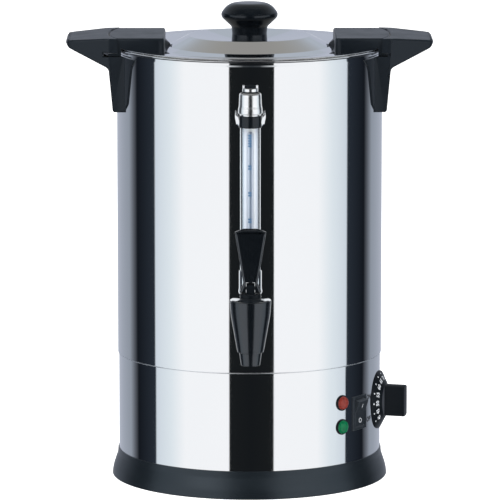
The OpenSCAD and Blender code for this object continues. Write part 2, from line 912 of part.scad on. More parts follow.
module handle() {
    half = handle_w / 2;
    difference() {
        union() {
            intersection() {
                handle_side(-half - 1, half + 1);
                handle_plan(0);
            }
            handle_lip();
        }
        handle_room();
        handle_hollow();
        // wider mouth of the slot, where the foot comes in
        intersection() {
            rod(slot_r + 4, slot_low, slot_high);
            translate([0, half - 12, 0]) cube([far, far, 2 * body_h]);
        }
        for (z = handle_screw_z) facing(90, z) rod(handle_screw_r, body_r - 5, body_r + insert_depth);
    }
    // stop rib
    intersection() {
        tube(slot_r + 0.5, foot_out - 1.2, body_h);
        translate([0, -half, slot_low]) cube([far, stop_w, slot_high - slot_low]);
    }
}

module handle_left() {
    color(black) rotate([0, 0, 180]) handle();
}

module handle_right() {
    color(black) handle();
}

module handle_screws() {
    color(steel) for (side = [0, 180], z = handle_screw_z) facing(90 + side, z) {
        rod(handle_screw_r, tank_in - 3, body_r + insert_depth);
        rod(4.6, tank_in - 6, tank_in - 3);
    }
}

module handle_washers() {
    color(rubber) for (side = [0, 180], z = handle_screw_z) intersection() {
        facing(90 + side, z) difference() {
            rod(6, tank_in - 3, tank_in + 1);
            rod(handle_screw_r, 0, far);
        }
        cylinder(r = tank_in, h = body_h, $fn = 256);
    }
}

// ---- Tap ----

module tap_shank() {
    color(chrome) facing(0, tap_z) difference() {
        rod(shank_r, shank_in, shank_end);
        rod(shank_bore, shank_in - 1, shank_end + 1);
        // cross hole up to the gauge
        translate([0, 0, -gauge_y]) rotate([-90, 0, 0]) cylinder(r = 3, h = shank_r + 1);
    }
}

module tap_outer_washer() {
    color(rubber) seated_on(body_r) facing(0, tap_z) difference() {
        rod(boss_r + 2, body_r - 3, body_r + washer_t);
        rod(shank_r, 0, far);
    }
}

module tap_inner_washer() {
    color(rubber) intersection() {
        facing(0, tap_z) difference() {
            rod(boss_r + 1.5, tank_in - inner_washer_t, tank_in + 1);
            rod(shank_r, 0, far);
        }
        cylinder(r = tank_in, h = body_h, $fn = 256);
    }
}

module tap_locknut() {
    color(chrome) facing(0, tap_z)
        hex_nut(2 * shank_r + 7, shank_r, tank_in - inner_washer_t - 6, tank_in - inner_washer_t);
}

module tap_body() {
    spout_r = spout_d / 2;
    tap_r = tap_d / 2;
    step_z = spout_z + 11.5;       // where the body narrows to its spout
    color(black) difference() {
        union() {
            translate([0, tap_y, 0]) revolve(rounded([
                [0, spout_z], [spout_r, spout_z, 1], [spout_r + 1.5, step_z],
                [spout_r + 3.2, step_z + 0.4, 0.4], [tap_r - 0.9, tap_top - 3, 6], [tap_r, tap_top, 0.6],
                [0, tap_top]
            ]));
            facing(0, tap_z) rod(boss_r - 0.4, -boss_y, -tap_y);
        }
        translate([0, tap_y, 0]) {
            revolve([
                [0, spout_z - 1], [outlet_r, spout_z - 1], [outlet_r, chamber_z - 2],
                [outlet_r + 1, chamber_z], [chamber_r, chamber_z], [chamber_r, tap_top + 1], [0, tap_top + 1]
            ]);
        }
        facing(0, tap_z) {
            rod(shank_r, 0, shank_end);
            rod(shank_bore, 0, -tap_y);
        }
    }
}

module tap_bonnet() {
    color(black) translate([0, tap_y, 0]) difference() {
        union() {
            rod(chamber_r, tap_top - 6, tap_top);
            revolve(rounded([
                [0, tap_top], [bonnet_r, tap_top], [bonnet_r, tap_top + bonnet_h, 0.6],
                [0, tap_top + bonnet_h]
            ]));
            translate([-ear_t / 2, -ear_r, tap_top + bonnet_h - 1]) cube([ear_t, 2 * ear_r, pin_z - tap_top - bonnet_h + 1]);
            translate([0, 0, pin_z]) rotate([0, 90, 0]) cylinder(r = ear_r, h = ear_t, center = true);
        }
        rod(stem_r + shaft_play, 0, stem_top + stem_lift + fit);
        translate([0, 0, pin_z]) rotate([0, 90, 0]) cylinder(r = pin_r, h = far, center = true);
    }
}

module tap_stem() {
    color(black) translate([0, tap_y, 0]) rod(stem_r, chamber_z + 4, stem_top);
}

module tap_seat_cup() {
    low = chamber_z + fit;
    color("whitesmoke") translate([0, tap_y, 0]) difference() {
        revolve(rounded([
            [0, low], [outlet_r + 1.8, low, 0.8], [outlet_r + 1.8, low + 3, 0.8],
            [stem_r + 1.6, low + 7, 2], [stem_r + 1.2, low + cup_h], [0, low + cup_h]
        ]));
        rod(stem_r, chamber_z + 4, 2 * body_h);
    }
}

module tap_pin() {
    color(chrome) translate([0, tap_y, pin_z]) rotate([0, 90, 0])
        cylinder(r = pin_r, h = fork_w - 2.4, center = true);
}

module tap_lever() {
    top = pin_z + lever_h;
    half = lever_w / 2;
    color(black) translate([0, tap_y, 0]) difference() {
        intersection() {
            translate([0, 20, 0]) rotate([90, 0, 0]) linear_extrude(height = 40) polygon(rounded([
                [-fork_w / 2, pin_z - fork_r - 1], [-fork_w / 2, pin_z - 3.4, 2], [-waist_w / 2, waist_z, 5],
                [-half, top - 3.6, 0.6], [-half * 0.5, top - 0.9, 12], [half * 0.5, top - 0.9, 12],
                [half, top - 3.6, 0.6], [waist_w / 2, waist_z, 5], [fork_w / 2, pin_z - 3.4, 2],
                [fork_w / 2, pin_z - fork_r - 1]
            ]));
            union() {
                rotate([90, 0, 90]) linear_extrude(height = 60, center = true) polygon(rounded([
                    [fork_r, pin_z], [fork_r - 0.8, pin_z + 8, 8], [-3, top - 2, 2], [-5.5, top, 2],
                    [-9, top - 2.5, 1.5], [-fork_r - 1.2, pin_z + 10, 10], [-fork_r, pin_z]
                ]));
                translate([0, 0, pin_z]) rotate([0, 90, 0]) cylinder(r = fork_r, h = 60, center = true);
            }
        }
        translate([-ear_t / 2 - fit, -20, 0]) cube([ear_t + 2 * fit, 40, pin_z + ear_r + 1.2]);
        translate([0, 0, pin_z]) rotate([0, 90, 0])
            cylinder(r = pin_r + shaft_play, h = far, center = true);
    }
}

// ---- Sight gauge ----

module gauge_base() {
    color(chrome) difference() {
        union() {
            facing(0, tap_z) rod(boss_r, body_r + washer_t, -boss_y);
            translate([0, gauge_y, 0]) {
                rod(-boss_y + gauge_y, tap_z, socket_low);
                revolve(rounded([
                    [0, socket_low], [socket_r, socket_low], [socket_r + 0.5, socket_low + 1.5, 0.5],
                    [socket_r, socket_low + 4.5, 1], [socket_r, socket_top, 0.8], [0, socket_top]
                ]));
            }
        }
        facing(0, tap_z) rod(shank_r, 0, far);
        translate([0, gauge_y, 0]) {
            rod(3, tap_z, 2 * body_h);
            rod(glass_r, glass_low, 2 * body_h);
        }
    }
}

module gauge_glass() {
    color("lightblue", 0.4) translate([0, gauge_y, glass_low])
        tube(glass_r, glass_r - glass_wall, gauge_top - glass_low);
}

// Strip inside the glass, with a round top and one cross bar for each litre
module gauge_scale() {
    low = glass_low;
    color("white") translate([0, gauge_y, 0]) difference() {
        translate([0, 1, 0]) rotate([90, 0, 0]) linear_extrude(height = 2) {
            translate([-scale_w / 2, low]) square([scale_w, scale_top - scale_w / 2 - low]);
            translate([0, scale_top - scale_w / 2]) circle(d = scale_w, $fn = 48);
        }
        for (litre = [4 : 9]) translate([-scale_w, -1.5, floor_z + litre * mark_step])
            cube([2 * scale_w, 1, 0.8]);
    }
}

module gauge_collar() {
    color(black) translate([0, gauge_y, 0]) difference() {
        revolve(rounded([
            [0, collar_low], [collar_r, collar_low, 0.6], [collar_r, collar_top, 0.4], [0, collar_top]
        ]));
        rod(glass_r, 0, 2 * body_h);
    }
}

// Bracket on the tank wall with a wing on either side of the collar
module gauge_bracket() {
    mid = (collar_low + collar_top) / 2;
    color(chrome) seated_on(body_r) difference() {
        union() {
            for (side = [-1, 1]) mirror([side < 0 ? 1 : 0, 0, 0])
                translate([0, -tank_in, 0]) rotate([90, 0, 0]) linear_extrude(height = gauge_reach + 5)
                    polygon(rounded([
                        [collar_r + 0.4, collar_low + 0.2], [collar_r + 2, mid - 2.5, 3],
                        [collar_r + 3.3, mid + 4, 8], [collar_r + 2.9, collar_top + 3.6, 0.4],
                        [collar_r + 1.9, collar_top + 3.4, 0.4], [collar_r - 0.6, mid, 6]
                    ]));
            translate([-collar_r - 2, -body_r - 1.6, mid - 3]) cube([2 * collar_r + 4, 2.6, 6]);
        }
        translate([0, gauge_y, 0]) rod(collar_r, 0, collar_top);
        translate([0, gauge_y, 0]) rod(collar_r + 0.8, collar_top, 2 * body_h);
    }
}

module gauge_cap() {
    color(chrome) translate([0, gauge_y, 0]) difference() {
        revolve(rounded([
            [0, collar_top], [collar_r - 0.7, collar_top, 0.3], [collar_r + 0.5, collar_top + 3, 0.8],
            [collar_r + 0.4, collar_top + 7.5, 2], [collar_r - 0.7, cap_top, 0.5], [0, cap_top]
        ]));
        rod(glass_r, 0, gauge_top);
        rod(vent_r - 1.5, 0, 2 * body_h);
        rod(vent_r, cap_top - 12, 2 * body_h);
        rod(collar_r - 1.9, cap_top - 3, 2 * body_h);
    }
}

module gauge_vent() {
    color(chrome) translate([0, gauge_y, 0]) difference() {
        rod(vent_r, cap_top - 12, vent_top);
        rod(vent_r - 1.4, cap_top - 2, 2 * body_h);
        rod(1.5, 0, 2 * body_h);
        box([vent_gap, 40], cap_top + 1.8, 2 * body_h);
    }
}

module gauge_seals() {
    color(rubber) translate([0, gauge_y, 0]) {
        difference() {
            rod(glass_r - glass_wall, glass_low, glass_low + 2.5);
            rod(glass_r - glass_wall - 1.6, 0, 2 * body_h);
        }
        difference() {
            rod(glass_r - glass_wall, gauge_top - 2.5, gauge_top);
            rod(glass_r - glass_wall - 1.6, 0, 2 * body_h);
        }
    }
}

tank_shell();
tank_floor();
base_skirt();
foot_ring();
bottom_cover();
rubber_feet();
tie_studs();
cover_nuts();
heat_plate();
heating_element();
element_clamp();
clamp_nut();
thermal_cutout();
reset_housing();
reset_button();
terminal_block();
earth_stud();
thermostat_body();
thermostat_bulb();
thermostat_bezel();
thermostat_shaft();
thermostat_dial();
lamp_bezels();
lamp_clips();
red_lens();
green_lens();
switch_housing();
switch_rocker();
inlet_socket();
inlet_pins();
inlet_screws();
lid_pan();
lid_knob();
knob_screw();
lug_left();
lug_right();
lug_screws();
handle_left();
handle_right();
handle_screws();
handle_washers();
tap_shank();
tap_outer_washer();
tap_inner_washer();
tap_locknut();
tap_body();
tap_bonnet();
tap_stem();
tap_seat_cup();
tap_pin();
tap_lever();
gauge_base();
gauge_glass();
gauge_scale();
gauge_collar();
gauge_bracket();
gauge_cap();
gauge_vent();
gauge_seals();
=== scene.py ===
import json
import math

import bmesh
import bpy
from mathutils import Matrix, Vector

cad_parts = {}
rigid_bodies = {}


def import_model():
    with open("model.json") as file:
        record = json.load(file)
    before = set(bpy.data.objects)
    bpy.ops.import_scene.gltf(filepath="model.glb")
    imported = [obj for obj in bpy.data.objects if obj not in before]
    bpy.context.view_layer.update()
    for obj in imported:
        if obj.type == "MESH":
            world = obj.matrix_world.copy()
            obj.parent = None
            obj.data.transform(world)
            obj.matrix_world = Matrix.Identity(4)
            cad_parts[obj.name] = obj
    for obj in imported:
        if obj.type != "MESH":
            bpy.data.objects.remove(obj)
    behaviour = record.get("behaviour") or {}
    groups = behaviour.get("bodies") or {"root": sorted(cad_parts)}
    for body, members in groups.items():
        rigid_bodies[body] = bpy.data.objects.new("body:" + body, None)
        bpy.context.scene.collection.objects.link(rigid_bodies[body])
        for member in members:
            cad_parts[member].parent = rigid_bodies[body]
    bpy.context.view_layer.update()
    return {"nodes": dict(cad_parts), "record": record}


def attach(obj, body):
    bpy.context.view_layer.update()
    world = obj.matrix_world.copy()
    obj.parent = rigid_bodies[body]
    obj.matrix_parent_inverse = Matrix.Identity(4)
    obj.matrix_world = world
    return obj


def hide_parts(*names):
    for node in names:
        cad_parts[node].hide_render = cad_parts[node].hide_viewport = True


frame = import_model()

# Hot water urn in polished steel. Metres, +Z up, tap towards -Y.
# The dictionaries of the pieces are in millimetres and degrees.
scene = bpy.context.scene
nodes = frame["nodes"]
slots = {entry["node"]: entry["material_slot"] for entry in frame["record"]["subparts"]}
bodyOf = {
    node: body
    for body, members in frame["record"]["behaviour"]["bodies"].items()
    for node in members
}
scene.view_settings.view_transform = "Standard"
printLift = 0.06              # how far print stands over what it is on
print("frame loaded")


camera = {
    "distance": 4.2,          # metres from the urn's axis
    "height": 0.8806,
    "pitch": 9.18,            # degrees below level
    "azimuth": -0.3,          # degrees round from the front
    "lens": 342.6,
    "sensor": 36,
    "shiftX": 0.001,
    "farthest": 60,
}


def addCamera():
    data = bpy.data.cameras.new("camera")
    data.lens = camera["lens"]
    data.sensor_width = camera["sensor"]
    data.shift_x = camera["shiftX"]
    data.clip_end = camera["farthest"]
    eye = bpy.data.objects.new("camera", data)
    turn = math.radians(camera["azimuth"])
    away = camera["distance"]
    eye.location = (away * math.sin(turn), -away * math.cos(turn), camera["height"])
    eye.rotation_euler = (math.radians(90 - camera["pitch"]), 0, turn)
    scene.collection.objects.link(eye)
    scene.camera = eye


# Shader node with its sockets and settings set by name
def addNode(tree, kind, **values):
    node = tree.nodes.new(kind)
    for key, value in values.items():
        if key in node.inputs:
            node.inputs[key].default_value = value
        else:
            setattr(node, key, value)
    return node


# Material whose surface is one shader of this kind
def newMaterial(name, kind="ShaderNodeBsdfPrincipled"):
    material = bpy.data.materials.new(name)
    material.use_nodes = True
    tree = material.node_tree
    tree.nodes.clear()
    shader = addNode(tree, kind)
    out = addNode(tree, "ShaderNodeOutputMaterial")
    tree.links.new(shader.outputs[0], out.inputs["Surface"])
    return material, tree, shader


def objectPlace(tree, stretch=(1, 1, 1)):
    coordinate = addNode(tree, "ShaderNodeTexCoord")
    mapping = addNode(tree, "ShaderNodeMapping", Scale=stretch)
    tree.links.new(coordinate.outputs["Object"], mapping.inputs["Vector"])
    return mapping.outputs["Vector"]


def objectAxis(tree, axis):
    coordinate = addNode(tree, "ShaderNodeTexCoord")
    parts = addNode(tree, "ShaderNodeSeparateXYZ")
    tree.links.new(coordinate.outputs["Object"], parts.inputs[0])
    return parts.outputs[axis]


def addNoise(tree, place, scale, detail=3, rough=0.5):
    noise = addNode(tree, "ShaderNodeTexNoise", Scale=scale, Detail=detail, Roughness=rough)
    tree.links.new(place, noise.inputs["Vector"])
    return noise.outputs["Fac"]


# Value taken from start..end to low..high
def spread(tree, value, low, high, start=0.3, end=0.7):
    ranged = addNode(tree, "ShaderNodeMapRange")
    for key, number in (("From Min", start), ("From Max", end), ("To Min", low), ("To Max", high)):
        ranged.inputs[key].default_value = number
    tree.links.new(value, ranged.inputs["Value"])
    return ranged.outputs["Result"]


# Mix of two colours, each one a fixed colour or a socket
def blendColour(tree, factor, first, second):
    mix = addNode(tree, "ShaderNodeMix", data_type="RGBA")
    sockets = {socket.identifier: socket for socket in mix.inputs}
    tree.links.new(factor, sockets["Factor_Float"])
    for key, colour in (("A_Color", first), ("B_Color", second)):
        if isinstance(colour, tuple):
            sockets[key].default_value = (*colour, 1)
        else:
            tree.links.new(colour, sockets[key])
    return next(socket for socket in mix.outputs if socket.identifier == "Result_Color")


def addRamp(tree, stops, factor):
    ramp = addNode(tree, "ShaderNodeValToRGB")
    band = ramp.color_ramp
    while len(band.elements) < len(stops):
        band.elements.new(0.5)
    for element, (place, colour) in zip(band.elements, sorted(stops)):
        element.position = place
        element.color = (*colour, 1)
    tree.links.new(factor, ramp.inputs["Fac"])
    return ramp.outputs["Color"]


def addBump(tree, shader, height, depth):
    bump = addNode(tree, "ShaderNodeBump", Distance=depth)
    tree.links.new(height, bump.inputs["Height"])
    tree.links.new(bump.outputs["Normal"], shader.inputs["Normal"])


# Finish mottled between two colours and two roughnesses, with a fine grain
def makeFinish(name, colour, second, rough=(0.3, 0.4), metallic=0.0, patch=30, grain=1500,
               bump=0.00001, stretch=(1, 1, 1), tint=None, level=0.5):
    material, tree, shader = newMaterial(name)
    place = objectPlace(tree, stretch)
    patches = addNoise(tree, place, patch, detail=4, rough=0.6)
    fine = addNoise(tree, place, grain, detail=2)
    tree.links.new(blendColour(tree, patches, colour, second), shader.inputs["Base Color"])
    tree.links.new(spread(tree, patches, *rough), shader.inputs["Roughness"])
    addBump(tree, shader, fine, bump)
    shader.inputs["Metallic"].default_value = metallic
    shader.inputs["Specular IOR Level"].default_value = level
    if tint:
        shader.inputs["Specular Tint"].default_value = (*tint, 1)
    return material


finishes = {
    # steel and chrome
    "polished_steel": dict(
        colour=(0.88, 0.89, 0.9), second=(0.85, 0.86, 0.875), rough=(0.035, 0.06), metallic=1,
        patch=7, grain=900, bump=0.0000004),
    "plain_steel": dict(
        colour=(0.5, 0.51, 0.53), second=(0.58, 0.59, 0.6), rough=(0.25, 0.38), metallic=1,
        patch=90, grain=1800, bump=0.000006, stretch=(1, 1, 6)),
    # painted shade: dark steel for the faces under the tank's bead
    "steel_painted_shade": dict(
        colour=(0.07, 0.075, 0.085), second=(0.1, 0.105, 0.11), rough=(0.25, 0.35), metallic=1,
        patch=60, grain=900, bump=0.000001),
    "chrome_plate": dict(
        colour=(0.86, 0.88, 0.9), second=(0.82, 0.84, 0.86), rough=(0.04, 0.09), metallic=1,
        patch=60, grain=900, bump=0.000001),
    "satin_chrome": dict(
        colour=(0.86, 0.88, 0.9), second=(0.8, 0.82, 0.85), rough=(0.3, 0.4), metallic=1,
        patch=80, grain=900, bump=0.000002),
    "buffed_chrome": dict(
        colour=(0.93, 0.94, 0.95), second=(0.88, 0.9, 0.92), rough=(0.2, 0.26), metallic=1,
        patch=80, grain=900, bump=0.000002),
    # black mouldings
    "black_plastic": dict(
        colour=(0.003, 0.0045, 0.0065), second=(0.0045, 0.0065, 0.009), rough=(0.16, 0.22),
        patch=40, grain=2600, bump=0.000004, tint=(0.85, 0.92, 1), level=0.9),
    "handle_plastic": dict(
        colour=(0.007, 0.010, 0.014), second=(0.009, 0.013, 0.018), rough=(0.3, 0.38),
        patch=40, grain=2600, bump=0.000006, tint=(0.85, 0.92, 1), level=0.23),
    "knob_plastic": dict(
        colour=(0.003, 0.0045, 0.0065), second=(0.0045, 0.0065, 0.009), rough=(0.14, 0.2),
        patch=40, grain=2600, bump=0.000004, tint=(0.85, 0.92, 1), level=0.45),
    "foot_plastic": dict(
        colour=(0.006, 0.009, 0.012), second=(0.008, 0.012, 0.016), rough=(0.28, 0.33),
        patch=40, grain=2600, bump=0.000005, tint=(0.74, 0.87, 1), level=0.6),
    "dial_plastic": dict(
        colour=(0.004, 0.006, 0.008), second=(0.006, 0.008, 0.011), rough=(0.28, 0.36),
        patch=40, grain=2600, bump=0.000004, tint=(0.85, 0.92, 1), level=0.15),
    "switch_plastic": dict(
        colour=(0.011, 0.015, 0.02), second=(0.014, 0.019, 0.025), rough=(0.32, 0.4),
        patch=40, grain=2600, bump=0.000006, tint=(0.85, 0.92, 1), level=0.5),
    # painted shade: dark and dull, for the faces inside the handles' slots
    "deep_shade": dict(
        colour=(0.003, 0.004, 0.005), second=(0.005, 0.006, 0.007), rough=(0.8, 0.9), level=0.05),
    "black_rubber": dict(
        colour=(0.018, 0.018, 0.018), second=(0.024, 0.024, 0.024), rough=(0.7, 0.85),
        grain=900, bump=0.00003),
    # what is inside, behind and underneath
    "grey_plastic": dict(
        colour=(0.1, 0.105, 0.11), second=(0.12, 0.125, 0.13), rough=(0.4, 0.5)),
    "ivory_ceramic": dict(
        colour=(0.72, 0.68, 0.57), second=(0.66, 0.61, 0.5), rough=(0.35, 0.5), bump=0.00002),
    "aluminium_plate": dict(
        colour=(0.6, 0.61, 0.62), second=(0.54, 0.55, 0.56), rough=(0.4, 0.55), metallic=1,
        grain=700, bump=0.00003),
    "brass_part": dict(
        colour=(0.7, 0.52, 0.22), second=(0.62, 0.44, 0.18), rough=(0.25, 0.35), metallic=1),
    "white_silicone": dict(
        colour=(0.8, 0.8, 0.78), second=(0.75, 0.75, 0.72), rough=(0.45, 0.55)),
    "scale_plastic": dict(
        colour=(0.75, 0.79, 0.86), second=(0.72, 0.77, 0.85), rough=(0.35, 0.45)),
    # lenses and print
    "red_plastic": dict(
        colour=(0.07, 0.008, 0.006), second=(0.36, 0.05, 0.035), rough=(0.12, 0.2),
        patch=330, grain=600, bump=0.0001, level=0.35),
    "green_plastic": dict(
        colour=(0.0, 0.035, 0.012), second=(0.0, 0.24, 0.09), rough=(0.12, 0.2),
        patch=330, grain=600, bump=0.0001, level=0.3),
    "blue_ink": dict(colour=(0.05, 0.14, 0.27), second=(0.07, 0.17, 0.32)),
    "white_ink": dict(colour=(0.8, 0.84, 0.88), second=(0.72, 0.76, 0.82), rough=(0.4, 0.5)),
    "black_ink": dict(colour=(0.015, 0.015, 0.018), second=(0.025, 0.025, 0.028), rough=(0.4, 0.5)),
}

# Colours across X from the middle of the urn: the space behind the glass, whose pale middle and grey sides
# are painted highlights and shade of the glass tube, and the strip, whose dark middle is painted shade of a
# groove
liningWithPaintedLight = [
    (-9, (0.5, 0.6, 0.66)), (-6.6, (0.44, 0.53, 0.6)), (-5.6, (0.5, 0.58, 0.66)),
    (-5, (0.8, 0.86, 0.95)), (3.2, (0.95, 1, 1)), (3.9, (0.9, 0.94, 1)), (5.2, (0.62, 0.67, 0.76)),
    (6, (0.42, 0.46, 0.52)), (9, (0.5, 0.54, 0.59)),
]
# the strip's own blue grey, with painted shade of a groove in a dark band down its middle
stripWithPaintedShade = [
    (-3.2, (0.42, 0.47, 0.55)), (-0.9, (0.45, 0.52, 0.62)), (-0.5, (0.2, 0.25, 0.32)),
    (0.8, (0.16, 0.2, 0.27)), (1.2, (0.4, 0.45, 0.54)), (3.2, (0.44, 0.48, 0.55)),
]

# Nodes whose finish isn't that of their slot
ownFinish = {
    "foot_ring": "foot_plastic",
    "tap_bonnet": "dial_plastic",
    "tap_stem": "dial_plastic",
    "gauge_collar": "knob_plastic",
}


# Colour in stripes across the object's X, used for painted highlights and shade on the gauge
def makeStriped(name, stops, rough=(0.4, 0.5)):
    material, tree, shader = newMaterial(name)
    width = stops[-1][0]
    across = spread(tree, objectAxis(tree, "X"), 0, 1, -width * 0.001, width * 0.001)
    placed = [((place + width) / (2 * width), colour) for place, colour in stops]
    tree.links.new(addRamp(tree, placed, across), shader.inputs["Base Color"])
    patches = addNoise(tree, objectPlace(tree), 60)
    tree.links.new(spread(tree, patches, *rough), shader.inputs["Roughness"])
    return material


glass = {"colour": (0.96, 0.98, 1), "rough": (0, 0.03), "refraction": 1.47}


def makeGlass():
    material, tree, shader = newMaterial("clearGlass")
    patches = addNoise(tree, objectPlace(tree), 60)
    tree.links.new(spread(tree, patches, *glass["rough"]), shader.inputs["Roughness"])
    shader.inputs["Base Color"].default_value = (*glass["colour"], 1)
    shader.inputs["Transmission Weight"].default_value = 1
    shader.inputs["IOR"].default_value = glass["refraction"]
    return material


def dressNodes():
    made = {name: makeFinish(name, **values) for name, values in finishes.items()}
    made["clear_glass"] = makeGlass()
    made["lining_with_painted_light"] = makeStriped("lining_with_painted_light", liningWithPaintedLight)
    made["scale_with_painted_shade"] = makeStriped("scale_with_painted_shade", stripWithPaintedShade)
    for name, slot in slots.items():
        nodes[name].data.materials.clear()
        nodes[name].data.materials.append(made[ownFinish.get(name, slot)])
    print("finishes on the frame")
    return made


# Path with each corner (r, z, radius) rounded; a corner with no radius stays sharp
def roundedPath(corners, arcs=10):
    path = []
    for i, corner in enumerate(corners):
        point = Vector(corner[:2])
        radius = corner[2] if len(corner) > 2 else 0
        if not radius:
            path.append(point)
            continue
        before = (Vector(corners[i - 1][:2]) - point).normalized()
        after = (Vector(corners[(i + 1) % len(corners)][:2]) - point).normalized()
        half = before.angle(after) / 2
        middle = point + (before + after).normalized() * radius / math.sin(half)
        start = point + before * radius / math.tan(half) - middle
        end = point + after * radius / math.tan(half) - middle
        turn = start.angle_signed(end)
        for k in range(arcs + 1):
            part = Matrix.Rotation(-turn * k / arcs, 2)
            path.append(middle + part @ start)
    return path


# Arc of a circle, from one angle to another
def arcPath(middle, radius, first, last, arcs=16):
    angles = [math.radians(first + (last - first) * k / arcs) for k in range(arcs + 1)]
    return [(middle[0] + radius * math.cos(a), middle[1] + radius * math.sin(a)) for a in angles]


# Closed section (r, z) turned about the Z axis
def turnedForm(section, steps):
    form = bmesh.new()
    verts = [form.verts.new((r * 0.001, 0, z * 0.001)) for r, z in section]
    edges = [form.edges.new(pair) for pair in zip(verts, verts[1:] + verts[:1])]
    bmesh.ops.spin(form, geom=verts + edges, cent=(0, 0, 0), axis=(0, 0, 1), angle=2 * math.pi,
                   steps=steps, use_merge=True)
    bmesh.ops.remove_doubles(form, verts=form.verts, dist=0.0000005)
    bmesh.ops.recalc_face_normals(form, faces=form.faces)
    return form


def addPiece(form, name, slot, body, *replaced, sharp=40, finish=None):
    mesh = bpy.data.meshes.new(name)
    form.to_mesh(mesh)
    form.free()
    mesh.shade_smooth()
    mesh.set_sharp_from_angle(angle=math.radians(sharp))
    piece = bpy.data.objects.new(name, mesh)
    scene.collection.objects.link(piece)
    mesh.materials.append(materials[finish or slot])
    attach(piece, body)
    if replaced:
        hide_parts(*replaced)
    return piece


# Copy of a node's mesh, made one closed surface
def mergedCopy(node):
    form = bmesh.new()
    form.from_mesh(nodes[node].data)
    bmesh.ops.remove_doubles(form, verts=form.verts, dist=0.00001)
    return form


# Copy of a node whose sharp edges are rounded where both ends are chosen
def roundedCopy(node, name, width=0, chosen=None, finish=None):
    form = mergedCopy(node)
    bmesh.ops.dissolve_limit(form, angle_limit=math.radians(1), verts=form.verts, edges=form.edges)
    if chosen:
        sharp = [
            edge for edge in form.edges
            if edge.is_manifold and edge.is_convex and edge.calc_face_angle(0) > math.radians(35)
            and all(chosen(vert.co * 1000) for vert in edge.verts)
        ]
        bmesh.ops.bevel(form, geom=sharp, offset=width * 0.001, segments=4, profile=0.5,
                        affect="EDGES", clamp_overlap=False, material=-1)
    piece = addPiece(form, name, slots[node], bodyOf[node], node, sharp=50, finish=finish)
    weighted = piece.modifiers.new("weighted", "WEIGHTED_NORMAL")
    weighted.keep_sharp = True
    weighted.weight = 100
    return piece


# Flat outline given depth, its front edge rounded; the place takes X, Y and the depth
def slabForm(outline, depth, place, edge=0):
    form = bmesh.new()
    face = form.faces.new([form.verts.new((x * 0.001, y * 0.001, 0)) for x, y in outline])
    grown = bmesh.ops.extrude_face_region(form, geom=[face])
    front = [part for part in grown["geom"] if isinstance(part, bmesh.types.BMVert)]
    bmesh.ops.translate(form, verts=front, vec=(0, 0, depth * 0.001))
    return finishedSlab(form, front, place, edge)


# The same with a hole through it
def ringForm(outline, hole, depth, place, edge):
    form = bmesh.new()
    loops = [[form.verts.new((x * 0.001, y * 0.001, 0)) for x, y in path] for path in (outline, hole)]
    edges = [form.edges.new(pair) for loop in loops for pair in zip(loop, loop[1:] + loop[:1])]
    bmesh.ops.bridge_loops(form, edges=edges)
    bmesh.ops.extrude_face_region(form, geom=form.faces[:])
    bmesh.ops.translate(form, verts=loops[0] + loops[1], vec=(0, 0, depth * 0.001))
    return finishedSlab(form, loops[0], place, edge)


def finishedSlab(form, front, place, edge):
    bmesh.ops.recalc_face_normals(form, faces=form.faces)
    if edge:
        rim = [side for side in form.edges if all(vert in front for vert in side.verts)]
        bmesh.ops.bevel(form, geom=rim, offset=edge * 0.001, segments=4, profile=0.5, affect="EDGES",
                        clamp_overlap=True, material=-1)
    bmesh.ops.transform(form, matrix=place, verts=form.verts)
    bmesh.ops.recalc_face_normals(form, faces=form.faces)
    return form


def turnedPiece(name, slot, body, section, place, *replaced, steps=96, finish=None):
    form = turnedForm(section, steps)
    bmesh.ops.transform(form, matrix=place, verts=form.verts)
    return addPiece(form, name, slot, body, *replaced, finish=finish)


# Local frame of what faces away from the axis: X right, Y up, Z out. Bearing 0 is in front, 90 at +X.
def facing(bearing, height, out=0):
    return (Matrix.Rotation(math.radians(bearing), 4, "Z")
            @ Matrix.Translation((0, 0, height * 0.001))
            @ Matrix.Rotation(math.radians(90), 4, "X")
            @ Matrix.Translation((0, 0, out * 0.001)))


# Place seen from that frame: to the right, up and outwards
def seenFrom(bearing, height):
    back = facing(bearing, height).inverted()
    return lambda place: back @ (place * 0.001) * 1000


def textForm(letters, size, bold=0):
    data = bpy.data.curves.new("letters", "FONT")
    data.body = letters
    data.size = size * 0.001
    data.offset = bold * 0.001
    data.align_x = "CENTER"
    data.align_y = "CENTER"
    data.resolution_u = 3
    holder = bpy.data.objects.new("letters", data)
    scene.collection.objects.link(holder)
    bpy.context.view_layer.update()
    mesh = bpy.data.meshes.new_from_object(holder.evaluated_get(bpy.context.evaluated_depsgraph_get()))
    form = bmesh.new()
    form.from_mesh(mesh)
    bpy.data.objects.remove(holder)
    bpy.data.curves.remove(data)
    bpy.data.meshes.remove(mesh)
    return form


# Several forms joined in one
def joinedForm(forms):
    whole = bmesh.new()
    for form in forms:
        mesh = bpy.data.meshes.new("part")
        form.to_mesh(mesh)
        form.free()
        whole.from_mesh(mesh)
        bpy.data.meshes.remove(mesh)
    return whole


tank = {
    "radius": 118,
    "wall": 0.8,
    "foot": 111.7,            # lower end of the wall
    "hem": 0.7,               # radius of the hem at its foot
    "hemTop": 0.5,            # faces lower than this above the foot are dull
    "neck": (380.7, 2),       # height where the wall draws in, and its rounding
    "swell": (117.45, 383.2, 0.2),    # radius, height and rounding
    "bead": 1.2,              # radius of the rolled bead
    "beadAt": (118.9, 385.3),     # radius and height of its middle
    "beadTurn": (-145, 180),      # angles from which and to which it is rolled
    "beadShade": -0.15,       # faces under the bead that point down more than this get painted shade
}


